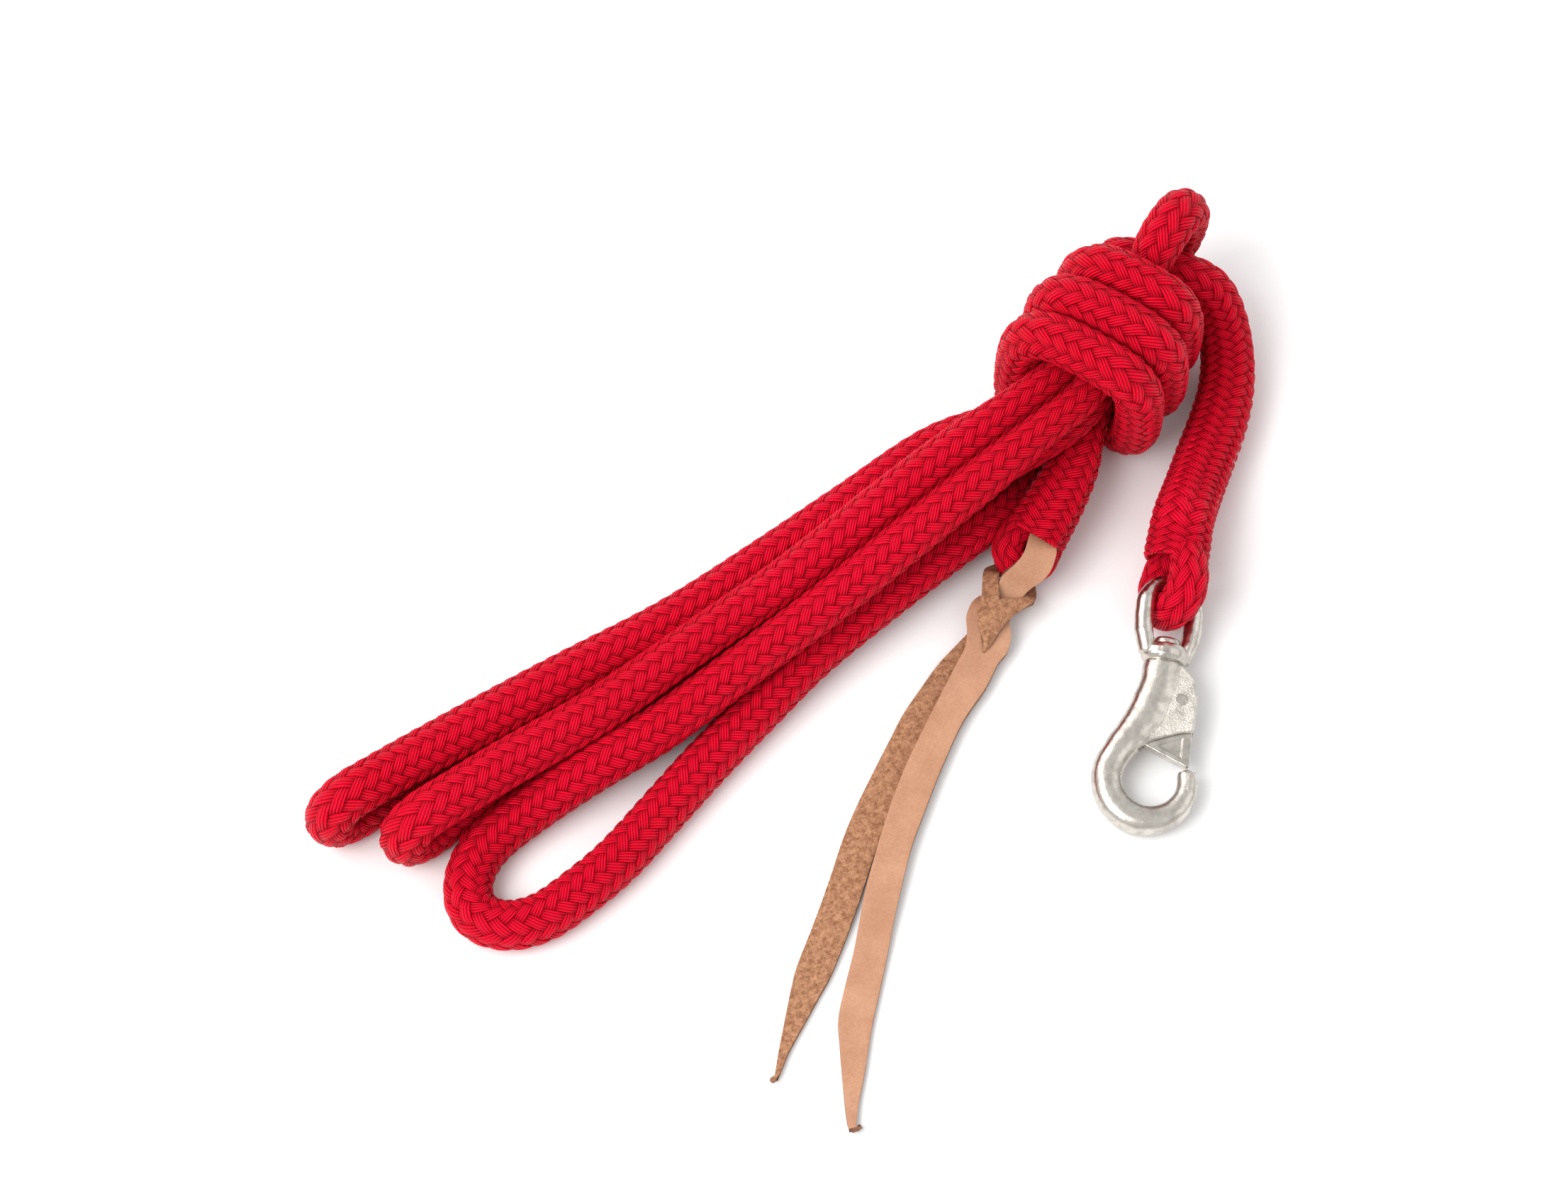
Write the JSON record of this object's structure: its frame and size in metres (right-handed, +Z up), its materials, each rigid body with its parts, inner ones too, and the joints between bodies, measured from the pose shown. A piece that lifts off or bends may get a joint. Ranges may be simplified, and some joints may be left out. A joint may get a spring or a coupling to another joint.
{
  "type": "horse lead rope",
  "caption": "Lead rope of thick braided cord folded into a wrapped hank, with a swivel bull snap at one spliced eye and a leather popper at the other.",
  "frame": {"origin": "middle of the hank's footprint on the surface it lies on", "axes": "+X along the hank towards its wrapped end, +Z up from the surface"},
  "size_m": [0.391, 0.2097, 0.0718],
  "materials": {
    "rope_red": "bright red braided polyester, slight sheen",
    "rope_core": "undyed braided core",
    "thread": "red whipping thread",
    "leather_tan": "natural vegetable-tanned leather, smooth grain outside, rough flesh inside",
    "nickel": "polished nickel plate over cast iron",
    "spring_steel": "plain spring wire"
  },
  "bodies": {
    "lead": {"rope_cover": "rope_red", "rope_core": "rope_core", "snap_eye_stitching": "thread", "popper_eye_stitching": "thread", "leather_popper": "leather_tan"},
    "bow": {"swivel_bow": "nickel"},
    "hook": {"hook_body": "nickel", "swivel_post": "nickel", "gate_rivet": "nickel", "gate_spring": "spring_steel"},
    "latch": {"gate": "nickel"}
  },
  "joints": [
    {"name": "bow_swing", "type": "hinge", "parent": "lead", "child": "bow", "pos_m": [0.10461, -0.01184, 0.01563], "axis": [-0.6593, 0.564, 0.4973], "range_deg": [0, 35]},
    {"name": "hook_swivel", "type": "hinge", "parent": "bow", "child": "hook", "pos_m": [0.0834, -0.0338, 0.01242], "axis": [0.6909, 0.7154, 0.1045], "continuous": true},
    {"name": "gate_open", "type": "hinge", "parent": "hook", "child": "latch", "pos_m": [0.07953, -0.04845, 0.01103], "axis": [0.0726, 0.0752, -0.9945], "range_deg": [0, 18], "stiffness_Nm_per_rad": 0.15, "springref_deg": -17.19}
  ]
}
